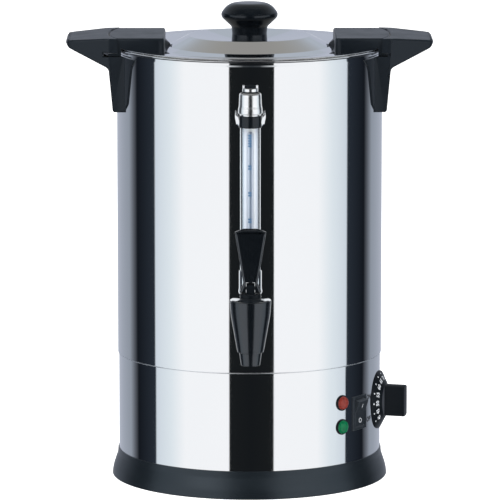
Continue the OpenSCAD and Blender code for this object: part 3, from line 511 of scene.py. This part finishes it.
def addTank():
    outer, foot, swell = tank["radius"], tank["foot"], tank["swell"]
    neck, rounding = tank["neck"]
    section = arcPath((outer - tank["hem"], foot), tank["hem"], -180, 0, 10)
    section += [(outer, foot + 0.4)]
    section += roundedPath([
        (outer, foot), (outer, neck - 2), (outer, neck, rounding), swell, (swell[0], swell[1] + 1),
    ])[1:-1]
    section += arcPath(tank["beadAt"], tank["bead"], *tank["beadTurn"], 28)
    section += [(outer - tank["wall"], foot + 1)]
    shell = addPiece(turnedForm(section, 256), "tankShell", "polished_steel", "urn", "tank_shell")
    shell.data.materials.append(materials["satin_chrome"])
    shell.data.materials.append(materials["steel_painted_shade"])
    for face in shell.data.polygons:
        if face.center.z < (foot + tank["hemTop"]) * 0.001:
            face.material_index = 1
        # faces under the bead take the dark steel of painted shade
        if face.center.z > swell[1] * 0.001 and face.normal.z < tank["beadShade"]:
            face.material_index = 2


# Corners of the upper side from the middle out: radius, height and rounding
lid = {
    "sheet": 0.8,
    "middle": (0, 390.5),
    "dish": (19, 390.5, 14),
    "crest": (54, 395.5, 3),
    "coneFoot": (72, 386.5, 2),
    "valley": (83.5, 384.7, 6),
    "edge": (119, 387.6),
}


def addLid():
    sheet, edge = lid["sheet"], lid["edge"]
    corners = [lid["middle"], lid["dish"], lid["crest"], lid["coneFoot"], lid["valley"], edge]
    upper = [tuple(point) for point in roundedPath(corners)]
    lower = [(r, z - sheet) for r, z in reversed(upper)]
    rim = arcPath((edge[0] - sheet / 2, edge[1] - sheet / 2), sheet / 2, 90, -90, 8)
    addPiece(turnedForm(upper[:-1] + rim + lower[1:], 256), "lidPan", "polished_steel", "lid", "lid_pan")


# Corners from the bottom to the top: radius, height and rounding
knob = {
    "bottom": (0, 390.5),
    "foot": (15.9, 390.5, 0.5),
    "neck": (15.4, 396.827, 10),
    "underCap": (16.1, 403.154, 2.5),
    "cap": (26.7, 413.254, 4.8),
    "shoulder": (18.5, 423.9, 14),
    "top": (0, 424.7),
}


def addKnob():
    section = roundedPath(list(knob.values()), 14)
    addPiece(turnedForm(section, 128), "lidKnob", "black_plastic", "lid", "lid_knob",
             finish="knob_plastic")


handle = {
    "edge": 1.8,
    "edgesFrom": (122, 345),  # edges are rounded beyond this X and above this height
    "slot": (380.9, 384.7),   # heights of the twist lock's slot, whose faces inside get painted shade
}


def addHandles():
    out, up = handle["edgesFrom"]
    low, high = handle["slot"]
    for side in ("left", "right"):
        grip = roundedCopy("handle_" + side, "handle" + side.title(), handle["edge"],
                           lambda place: place.z > up and abs(place.x) > out, "handle_plastic")
        mesh = grip.data
        # the faces inside the slot get painted shade
        mesh.materials.append(materials["deep_shade"])
        for face in mesh.polygons:
            heights = [mesh.vertices[i].co.z * 1000 for i in face.vertices]
            face.material_index = int(min(heights) > low and max(heights) < high)
        roundedCopy("lug_" + side, "lug" + side.title(), finish="handle_plastic")


tap = {
    "axis": 163,              # how far in front of the urn's axis
    "top": 184.7,
    # radius, height and rounding, from the bore's depth to that of the hollow under the bonnet
    "body": [
        (5.8, 131.5), (5.8, 127.5), (8.2, 127.5, 0.8), (9.8, 138.9, 0.3), (11.4, 139.4, 0.4),
        (17, 171, 60), (18, 184.7, 0.7), (8.6, 184.7), (8.6, 178.7),
    ],
    "inlet": (10.1, 144.5, 155),    # radius, and from where to where in front of the axis
    "inletHeight": 172,
    # chrome cover on the body
    "ring": [
        (8, 184.3), (8, 186.5), (8.6, 186.8, 0.3), (16.6, 185.2, 3), (17.6, 184.6), (17.6, 184.3),
    ],
    "saddle": (18.8, 35.6, 2.2),    # width, length and height
    "saddleHole": 8.6,        # its radius
    "saddleEdge": 0.7,
    "leverEdge": 2,
    "leverFork": 4.5,         # edges nearer to the middle than this stay sharp
}


def addTap():
    axis = Matrix.Translation((0, -tap["axis"] * 0.001, 0))
    form = turnedForm(roundedPath(tap["body"]), 128)
    bmesh.ops.transform(form, matrix=axis, verts=form.verts)
    # boss towards the gauge's base
    inlet, first, last = tap["inlet"]
    bmesh.ops.create_cone(form, cap_ends=True, segments=64, radius1=inlet * 0.001, radius2=inlet * 0.001,
                          depth=(last - first) * 0.001,
                          matrix=facing(0, tap["inletHeight"], (first + last) / 2))
    addPiece(form, "tapBody", "black_plastic", "urn", "tap_body")

    turnedPiece("tapRing", "chrome_plate", "urn", roundedPath(tap["ring"]), axis)

    # each half of the hole ends a little short, so that no two points meet
    wide, long, high = tap["saddle"]
    outline, hole = [], []
    for end in (-1, 1):
        outline += arcPath((0, end * (long - wide) / 2), wide / 2, 90 * end - 90, 90 * end + 90)
        hole += arcPath((0, 0), tap["saddleHole"], 90 * end - 85, 90 * end + 85)
    place = axis @ Matrix.Translation((0, 0, tap["top"] * 0.001))
    addPiece(ringForm(outline, hole, high, place, tap["saddleEdge"]), "tapSaddle", "black_plastic", "urn",
             finish="dial_plastic")

    roundedCopy("tap_lever", "tapLever", tap["leverEdge"], lambda place: abs(place.x) > tap["leverFork"])


gauge = {
    "axis": 135.5,            # how far in front of the urn's axis
    "glass": 8.7,             # its radius
    "low": 196,               # lower end of what is in the glass
    "strip": (6.2, 1.2, 327),     # width, thickness and top
    "board": (6.9, 0.1, 0.8),     # half width, and the two faces behind the axis
    "lining": (8.72, 8.9, 4),     # two radii, and the degrees short of half round
    "backLength": 140,            # of the board and the lining
    "zero": 111.6,                # level of an empty tank
    "litre": 23.17,
    "litres": (4, 9),
    "dashes": (2, 5),             # to a litre, and at the last one
    "dash": (3, 1.6, 2.3),        # width, height and spacing
    "dashAside": -0.4,
    # radius, height and rounding of the cap, its vent and the plug in the vent
    "cap": [
        (8.7, 341.2), (8.9, 341.2), (9.3, 342.4, 0.3), (10.7, 343.2, 1), (10.5, 347.2, 2),
        (9.9, 349.7, 6), (9.45, 361, 2.2), (4, 361), (4, 353), (8.7, 353),
    ],
    "vent": [(5.4, 362.2), (6.8, 362.2), (6.8, 365, 0.6), (5.4, 365, 0.5)],
    "plug": [(0, 360), (7, 360), (7, 362.2), (5.2, 362.2), (5.2, 367.2, 0.8), (0, 367.6)],
    "prong": (6.8, 5.3, 20),      # two radii, and half its angle
    "prongHeights": (364.2, 367.5),
    "prongEdge": 0.4,
    "wing": (10.4, 138.5),        # where the bracket's wings start, across and in front
    "wingSlant": 0.5,
}


def addScale():
    axis = Matrix.Translation((0, -gauge["axis"] * 0.001, 0))
    width, thickness, top = gauge["strip"]
    half, low = width / 2, gauge["low"]
    outline = [(-half, low), (half, low)] + arcPath((0, top - half), half, 0, 180)
    upright = axis @ Matrix.Rotation(math.radians(90), 4, "X")
    # the strip's colour carries painted shade of a groove down its middle
    addPiece(slabForm(outline, thickness, upright), "scaleStrip", "scale_plastic", "urn", "gauge_scale",
             finish="scale_with_painted_shade")

    # pale board behind the strip, and a pale lining behind the glass, both coloured with the painted
    # highlights and shade of the glass tube
    half, front, back = gauge["board"]
    board = [(-half, front), (half, front), (half, back), (-half, back)]
    inner, outer, short = gauge["lining"]
    lining = arcPath((0, 0), outer, short, 180 - short, 24) + arcPath((0, 0), inner, 180 - short, short, 24)
    place = axis @ Matrix.Translation((0, 0, low * 0.001))
    for name, section in (("scaleBoard", board), ("glassLining", lining)):
        addPiece(slabForm(section, gauge["backLength"], place), name, "white_silicone", "urn",
                 finish="lining_with_painted_light")


# Printed dashes on the glass, one group for each litre
def addDashes():
    width, height, spacing = gauge["dash"]
    radius = (gauge["glass"] + printLift) * 0.001
    first, last = gauge["litres"]
    forms = []
    for litre in range(first, last + 1):
        count = gauge["dashes"][litre == last]
        for i in range(count):
            level = gauge["zero"] + litre * gauge["litre"] + (i - (count - 1) / 2) * spacing
            dash = bmesh.new()
            bmesh.ops.create_grid(dash, x_segments=3, y_segments=1, size=0.0005)
            bmesh.ops.scale(dash, verts=dash.verts, vec=(width, height, 1))
            for vert in dash.verts:
                x = vert.co.x + gauge["dashAside"] * 0.001
                y = -gauge["axis"] * 0.001 - math.sqrt(radius * radius - x * x)
                vert.co = (x, y, vert.co.y + level * 0.001)
            forms.append(dash)
    addPiece(joinedForm(forms), "litreMarks", "blue_ink", "urn")


def addGauge():
    axis = Matrix.Translation((0, -gauge["axis"] * 0.001, 0))
    turnedPiece("gaugeCap", "chrome_plate", "urn", roundedPath(gauge["cap"], 8), axis, "gauge_cap",
                steps=128, finish="buffed_chrome")

    # vent on the cap: chrome wall with two prongs round a black plug
    turnedPiece("gaugeVent", "chrome_plate", "urn", roundedPath(gauge["vent"]), axis, "gauge_vent",
                finish="buffed_chrome")
    outer, inner, half = gauge["prong"]
    low, high = gauge["prongHeights"]
    for name, turn in (("ventProngLeft", 180), ("ventProngRight", 0)):
        blade = arcPath((0, 0), outer, -half, half, 8) + arcPath((0, 0), inner, half, -half, 8)
        place = (axis @ Matrix.Translation((0, 0, low * 0.001))
                 @ Matrix.Rotation(math.radians(turn), 4, "Z"))
        addPiece(slabForm(blade, high - low, place, gauge["prongEdge"]), name, "chrome_plate", "urn",
                 finish="satin_chrome")
    turnedPiece("ventPlug", "black_plastic", "urn", roundedPath(gauge["plug"]), axis,
                finish="dial_plastic")

    # bracket, its wings' front faces turned a little outwards
    form = mergedCopy("gauge_bracket")
    across, front = gauge["wing"]
    for vert in form.verts:
        if vert.co.y < -front * 0.001:
            vert.co.y += gauge["wingSlant"] * (abs(vert.co.x) - across * 0.001)
    addPiece(form, "gaugeBracket", "chrome_plate", "urn", "gauge_bracket")


dial = {
    "bearing": 74,
    "height": 72.3,
    "back": 118.6,            # out from the urn's axis
    "radius": 26,
    "rim": 3,
    "edge": 0.4,
    "hollow": 1.2,            # depth of the hollow in its back
    "hub": (3, 7),            # inner and outer radius
    "coneFoot": (26, 120, 0.5),   # radius, distance out and rounding
    "coneTop": (14.3, 126.4, 0.4),
    "grip": (12, 14.3, 144.4),    # width, reach and end
    "gripEdge": 1.4,
    "numbers": (40, 100, 5),      # first, last and step
    "numberTurn": (-135, 22.5),   # angle of the first, and from one to the next
    "numberRadius": 19.3,
    "numberSize": 5,
    "numberBold": 0.1,
    "dotRadius": 23.6,
    "dotSize": 1.5,
}


def addDial():
    foot, top, back, radius = dial["coneFoot"], dial["coneTop"], dial["back"], dial["radius"]
    place = facing(dial["bearing"], dial["height"])
    hole, hub = dial["hub"]
    hollow = (radius - dial["rim"], back + dial["hollow"])
    turnedPiece("dialDisc", "black_plastic", "dial", roundedPath([
        (hole, back), (hub, back), (hub, hollow[1]), hollow, (hollow[0], back),
        (radius, back, dial["edge"]), foot, top, (hole, top[1]),
    ], 5), place, "thermostat_dial", steps=128, finish="dial_plastic")

    wide, reach, end = dial["grip"]
    corner = math.degrees(math.asin(wide / 2 / reach))
    outline = [
        point for side in (90, 270)
        for point in arcPath((0, 0), reach, side - corner, side + corner, 12)
    ]
    place = place @ Matrix.Translation((0, 0, foot[1] * 0.001))
    addPiece(slabForm(outline, end - foot[1], place, dial["gripEdge"]), "dialGrip", "black_plastic", "dial",
             finish="dial_plastic")


# Flat form laid on the dial's cone at this angle and radius
def laidOnDial(form, angle, radius):
    foot, top = dial["coneFoot"], dial["coneTop"]
    tilt = math.atan2(top[1] - foot[1], foot[0] - top[0])
    out = foot[1] + (foot[0] - radius) * math.tan(tilt) + printLift
    place = (facing(dial["bearing"], dial["height"])
             @ Matrix.Rotation(math.radians(-angle), 4, "Z")
             @ Matrix.Translation((0, radius * 0.001, out * 0.001))
             @ Matrix.Rotation(-tilt, 4, "X"))
    bmesh.ops.transform(form, matrix=place, verts=form.verts)
    return form


def addDialNumbers():
    first, last, step = dial["numbers"]
    angle, turn = dial["numberTurn"]
    forms = []
    for number in range(first, last + 1, step):
        digits = textForm(str(number), dial["numberSize"], dial["numberBold"])
        forms.append(laidOnDial(digits, angle, dial["numberRadius"]))
        dot = bmesh.new()
        bmesh.ops.create_circle(dot, cap_ends=True, segments=12, radius=dial["dotSize"] * 0.0005)
        forms.append(laidOnDial(dot, angle, dial["dotRadius"]))
        angle += turn
    addPiece(joinedForm(forms), "dialNumbers", "white_ink", "dial")


switch = {
    "bearing": 55.2,
    "height": 67.1,
    "opening": (10.3, 15.1),  # half its width and half its height, inside the rim
    "rimOut": 118.4,          # the rim's edges are rounded further out than this
    "rimEdge": 1,
    "rockerOut": 117,         # and the rocker's further out than this
    "rockerEdge": 0.6,
    "rockerRise": 2.4,        # of the rocker's middle over its pivot
    "pivotOut": 116.5,
    "tilt": 10,
    "signs": {"I": 6.6, "O": -6.6},   # how far up from the rocker's middle
    "signSize": 6,
}


def addSwitch():
    seen = seenFrom(switch["bearing"], switch["height"])
    wide, high = switch["opening"]

    def onRim(place):
        right, up, out = seen(place)
        return out > switch["rimOut"] and (abs(right) > wide or abs(up) > high)

    def onRocker(place):
        return seen(place)[2] > switch["rockerOut"]

    roundedCopy("switch_housing", "switchHousing", switch["rimEdge"], onRim, "switch_plastic")
    roundedCopy("switch_rocker", "switchRocker", switch["rockerEdge"], onRocker, "switch_plastic")

    # signs lie on the two halves of the rocker, which both lean towards its middle
    tilt = math.radians(switch["tilt"])
    pivot = facing(switch["bearing"], switch["height"], switch["pivotOut"])
    for sign, up in switch["signs"].items():
        out = switch["rockerRise"] + abs(up) * math.tan(tilt) + printLift
        place = (pivot @ Matrix.Rotation(tilt, 4, "X")
                 @ Matrix.Translation((0, up * 0.001, out * 0.001))
                 @ Matrix.Rotation(math.copysign(tilt, up), 4, "X"))
        form = textForm(sign, switch["signSize"])
        bmesh.ops.transform(form, matrix=place, verts=form.verts)
        addPiece(form, "sign" + sign, "white_ink", bodyOf["switch_rocker"])


lamps = {
    "bearing": 43.5,
    "heights": {"red": 79.2, "green": 57.7},
    "ringOut": 118.9,         # a ring's edges are rounded further out than this
    "ringRadius": 6.7,        # and where they are wider than this
    "ringEdge": 0.8,
    # radius, distance out and rounding
    "lens": [(0, 118.1), (6, 118.1), (6, 119.4, 1), (5, 121, 2), (3, 122, 3), (0, 122.3)],
}


def addLamps():
    seen = [seenFrom(lamps["bearing"], height) for height in lamps["heights"].values()]

    def onRing(place):
        right, up, out = min((look(place) for look in seen), key=lambda spot: abs(spot[1]))
        return out > lamps["ringOut"] and math.hypot(right, up) > lamps["ringRadius"]

    roundedCopy("lamp_bezels", "lampBezels", lamps["ringEdge"], onRing, "dial_plastic")
    for colour, height in lamps["heights"].items():
        turnedPiece(colour + "Lens", colour + "_plastic", "urn", roundedPath(lamps["lens"], 6),
                    facing(lamps["bearing"], height), colour + "_lens", steps=64)


words = {
    "bearing": 64.3,
    "skirt": 117.1,           # radius of what they are printed on
    "size": 6,
    "bold": 0.3,
    "stretch": 0.85,          # of their width
    "heights": {"ON": 77.8, "OFF": 58},
}


# Words beside the switch, bent round the skirt
def addWords():
    radius = (words["skirt"] + printLift) * 0.001
    for letters, height in words["heights"].items():
        form = textForm(letters, words["size"], words["bold"])
        bmesh.ops.subdivide_edges(form, edges=form.edges, cuts=1)
        for vert in form.verts:
            turn = math.radians(words["bearing"]) + vert.co.x * words["stretch"] / radius
            vert.co = (radius * math.sin(turn), -radius * math.cos(turn), height * 0.001 + vert.co.y)
        addPiece(form, "word" + letters.title(), "black_ink", "urn")


# Small parts leave no image of themselves in the steel; these do
mirrored = ("tankShell", "lidPan", "lidKnob", "lugLeft", "lugRight", "base_skirt", "foot_ring")


def limitImages():
    for piece in scene.objects:
        if piece.type == "MESH" and piece.name not in mirrored:
            piece.visible_glossy = False
    nodes["gauge_glass"].visible_shadow = False
    nodes["gauge_glass"].visible_diffuse = False


# Cards that only glossy rays see: a round wall, a ceiling and a ground, in metres
studio = {
    "wallRadius": 1.6,
    "wallLow": -0.4,
    "wallHigh": 0.86,
    "wallTurn": 1.4,          # degrees of the wall's pattern towards +X
    "wallBlend": ((0.3, 0.4), (0.62, 0.72)),    # heights where its patterns change
    "ceiling": 2.2,           # its radius
    "ceilingLow": 0.25,
    "ceilingBlend": (0.35, 0.65),     # from the front's colours to the back's
    "groundRadius": 1.7,
    "groundHeight": -0.39,
    "ground": (0.03, 0.032, 0.036),
    "groundFade": (0.45, 0.7),    # from the dark under the urn to the wall's pattern
    "level": 1.1,
    "floorSize": 20,
    "floor": (0.9, 0.9, 0.9),
    "paper": (0.1, 0.8),      # how much whiter the floor looks, to the camera the second
    "worldLight": (1, 0.7),   # the second on matt surfaces
    "aim": (0, 0, 0.2),
}

# Colours round the wall by bearing, 0 in front and 180 at the back
wallStops = [
    (0, (0.008, 0.0095, 0.011)), (18.3, (0.010, 0.0115, 0.0125)), (18.8, (0.93, 0.935, 0.95)),
    (58, (0.92, 0.93, 0.945)), (72, (0.74, 0.8, 0.84)), (88.4, (0.62, 0.68, 0.74)),
    (89.5, (0.02, 0.026, 0.036)), (113, (0.007, 0.009, 0.013)), (119, (0.1, 0.11, 0.13)),
    (127, (0.27, 0.3, 0.35)), (150, (0.4, 0.43, 0.52)), (170, (0.42, 0.45, 0.53)),
]
# What replaces the wall's back low down, and its front high up
lowBack = [(164, (0.42, 0.45, 0.53)), (171, (0.8, 0.82, 0.85)), (180, (0.9, 0.91, 0.93))]
upperFront = [
    (0, (0.03, 0.035, 0.04)), (7, (0.05, 0.055, 0.06)), (17, (0.5, 0.52, 0.54)), (22, (0.9, 0.91, 0.93)),
]
lowStops = wallStops[:-2] + lowBack
upperStops = upperFront + wallStops[3:]
# By height, as a share of the ceiling's radius
ceilingBack = [
    (0.3, (0.37, 0.41, 0.46)), (0.55, (0.4, 0.44, 0.5)), (0.72, (0.33, 0.34, 0.35)),
    (0.85, (0.3, 0.295, 0.28)), (0.98, (0.26, 0.25, 0.24)),
]
ceilingFront = [(0.3, (0.012, 0.014, 0.017)), (0.9, (0.02, 0.022, 0.025)), (0.98, (0.15, 0.15, 0.15))]

lights = [                    # name, place, size and power
    ("lampLeft", (-1.3, -1.5, 1.6), 0.9, 16),
    ("lampRight", (1.3, -1.5, 1.6), 0.9, 16),
    ("lampTop", (0, 0.2, 2.1), 1.4, 14),
]


def addStage(name, form, material):
    mesh = bpy.data.meshes.new(name)
    form.to_mesh(mesh)
    form.free()
    mesh.materials.append(material)
    stage = bpy.data.objects.new(name, mesh)
    scene.collection.objects.link(stage)
    return stage


def addCard(name, form, material):
    card = addStage(name, form, material)
    card.visible_camera = False
    card.visible_diffuse = False
    card.visible_shadow = False
    card.visible_transmission = False
    card.visible_volume_scatter = False


def newGlow(name):
    material, tree, glow = newMaterial(name, "ShaderNodeEmission")
    glow.inputs["Strength"].default_value = studio["level"]
    return material, tree, glow.inputs["Color"]


# 0 in front, 1 at the back, the same on either side
def bearingFactor(tree):
    coordinate = addNode(tree, "ShaderNodeTexCoord")
    turn = math.pi / 2 - math.radians(studio["wallTurn"])
    mapping = addNode(tree, "ShaderNodeMapping", Rotation=(0, 0, turn))
    around = addNode(tree, "ShaderNodeTexGradient", gradient_type="RADIAL")
    tree.links.new(coordinate.outputs["Object"], mapping.inputs["Vector"])
    tree.links.new(mapping.outputs["Vector"], around.inputs["Vector"])
    socket = around.outputs["Fac"]
    for operation, number in (("SUBTRACT", 0.5), ("ABSOLUTE", 0), ("MULTIPLY", 2)):
        step = addNode(tree, "ShaderNodeMath", operation=operation)
        step.inputs[1].default_value = number
        tree.links.new(socket, step.inputs[0])
        socket = step.outputs[0]
    return socket


def bearingRamp(tree, stops):
    return addRamp(tree, [(degrees / 180, colour) for degrees, colour in stops], bearingFactor(tree))


def addWall():
    form = bmesh.new()
    bmesh.ops.create_circle(form, segments=128, radius=studio["wallRadius"])
    bmesh.ops.translate(form, verts=form.verts, vec=(0, 0, studio["wallLow"]))
    grown = bmesh.ops.extrude_edge_only(form, edges=form.edges[:])
    raised = [part for part in grown["geom"] if isinstance(part, bmesh.types.BMVert)]
    bmesh.ops.translate(form, verts=raised, vec=(0, 0, studio["wallHigh"] - studio["wallLow"]))
    material, tree, colour = newGlow("wallGlow")
    shade = bearingRamp(tree, lowStops)
    for stops, heights in zip((wallStops, upperStops), studio["wallBlend"]):
        factor = spread(tree, objectAxis(tree, "Z"), 0, 1, *heights)
        shade = blendColour(tree, factor, shade, bearingRamp(tree, stops))
    tree.links.new(shade, colour)
    addCard("studioWall", form, material)


def addCeiling():
    form = bmesh.new()
    bmesh.ops.create_icosphere(form, subdivisions=5, radius=studio["ceiling"])
    below = [vert for vert in form.verts if vert.co.z < studio["ceilingLow"]]
    bmesh.ops.delete(form, geom=below, context="VERTS")
    material, tree, colour = newGlow("ceilingGlow")
    height = spread(tree, objectAxis(tree, "Z"), 0, 1, 0, studio["ceiling"])
    factor = spread(tree, bearingFactor(tree), 0, 1, *studio["ceilingBlend"])
    front = addRamp(tree, ceilingFront, height)
    back = addRamp(tree, ceilingBack, height)
    tree.links.new(blendColour(tree, factor, front, back), colour)
    addCard("studioCeiling", form, material)


def addGround():
    form = bmesh.new()
    bmesh.ops.create_circle(form, cap_ends=True, segments=64, radius=studio["groundRadius"])
    bmesh.ops.translate(form, verts=form.verts, vec=(0, 0, studio["groundHeight"]))
    material, tree, colour = newGlow("groundGlow")
    coordinate = addNode(tree, "ShaderNodeTexCoord")
    away = addNode(tree, "ShaderNodeVectorMath", operation="LENGTH")
    tree.links.new(coordinate.outputs["Object"], away.inputs[0])
    factor = spread(tree, away.outputs["Value"], 0, 1, *studio["groundFade"])
    tree.links.new(blendColour(tree, factor, studio["ground"], bearingRamp(tree, lowStops)), colour)
    addCard("studioGround", form, material)


# Matt floor that takes the shadow, white to the camera and unseen in the steel
def addFloor():
    form = bmesh.new()
    bmesh.ops.create_grid(form, x_segments=8, y_segments=8, size=studio["floorSize"])
    material, tree, both = newMaterial("floorPaper", "ShaderNodeAddShader")
    matt = addNode(tree, "ShaderNodeBsdfDiffuse", Color=(*studio["floor"], 1))
    glow = addNode(tree, "ShaderNodeEmission")
    path = addNode(tree, "ShaderNodeLightPath")
    strength = spread(tree, path.outputs["Is Camera Ray"], *studio["paper"], 0, 1)
    tree.links.new(strength, glow.inputs["Strength"])
    tree.links.new(matt.outputs[0], both.inputs[0])
    tree.links.new(glow.outputs[0], both.inputs[1])
    floor = addStage("floor", form, material)
    floor.visible_glossy = False


def addLights():
    world = bpy.data.worlds.new("studio")
    world.use_nodes = True
    scene.world = world
    tree = world.node_tree
    background = tree.nodes["Background"]
    background.inputs["Color"].default_value = (1, 1, 1, 1)
    path = addNode(tree, "ShaderNodeLightPath")
    strength = spread(tree, path.outputs["Is Diffuse Ray"], *studio["worldLight"], 0, 1)
    tree.links.new(strength, background.inputs["Strength"])
    for name, place, size, power in lights:
        data = bpy.data.lights.new(name, "AREA")
        data.energy = power
        data.size = size
        lamp = bpy.data.objects.new(name, data)
        lamp.location = place
        lamp.rotation_euler = (Vector(studio["aim"]) - Vector(place)).to_track_quat("-Z", "Y").to_euler()
        lamp.visible_glossy = name != "lampTop"
        scene.collection.objects.link(lamp)


addCamera()
materials = dressNodes()
addTank()
addLid()
addKnob()
addHandles()
print("tank, lid and handles made")
addTap()
addScale()
addDashes()
addGauge()
print("tap and gauge made")
addDial()
addDialNumbers()
addSwitch()
addLamps()
addWords()
print("controls made")
limitImages()
addWall()
addCeiling()
addGround()
addFloor()
addLights()
print("studio ready")
